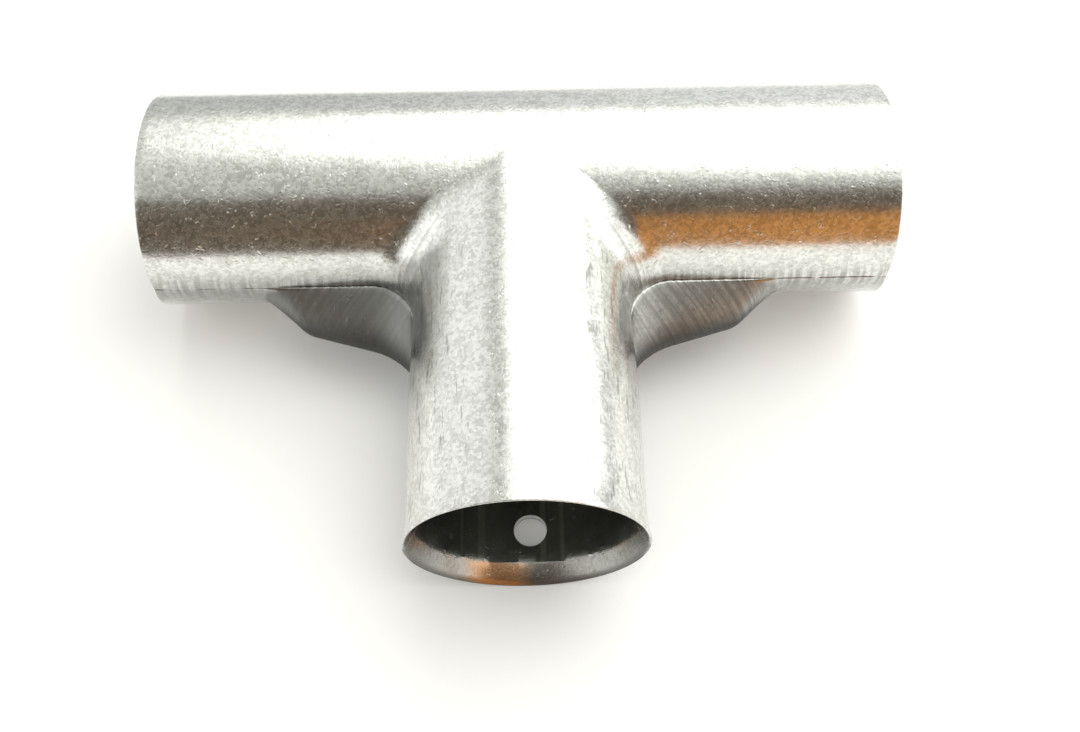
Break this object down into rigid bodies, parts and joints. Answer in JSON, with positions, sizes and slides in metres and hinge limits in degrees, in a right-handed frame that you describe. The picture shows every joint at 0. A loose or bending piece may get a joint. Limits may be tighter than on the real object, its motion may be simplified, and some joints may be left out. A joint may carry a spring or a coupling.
{
  "type": "inspection tee",
  "caption": "Galvanized pressed-sheet conduit tee of two half shells: straight run, flared branch socket, webs in the crotches and a locking-screw hole behind the branch.",
  "frame": {"origin": "where the run's axis crosses the branch's axis", "axes": "+X along the run, -Y out of the branch mouth, +Z out of the front shell, so that the tee lies on its back"},
  "size_m": [0.0768, 0.0513, 0.0238],
  "materials": {
    "zinc_front": "satin zinc, mottled, with draw marks along the seam",
    "zinc_rear": "satin zinc, mottled, darker inside the sockets"
  },
  "bodies": {
    "root": {"front_shell": "zinc_front", "rear_shell": "zinc_rear"}
  },
  "joints": []
}
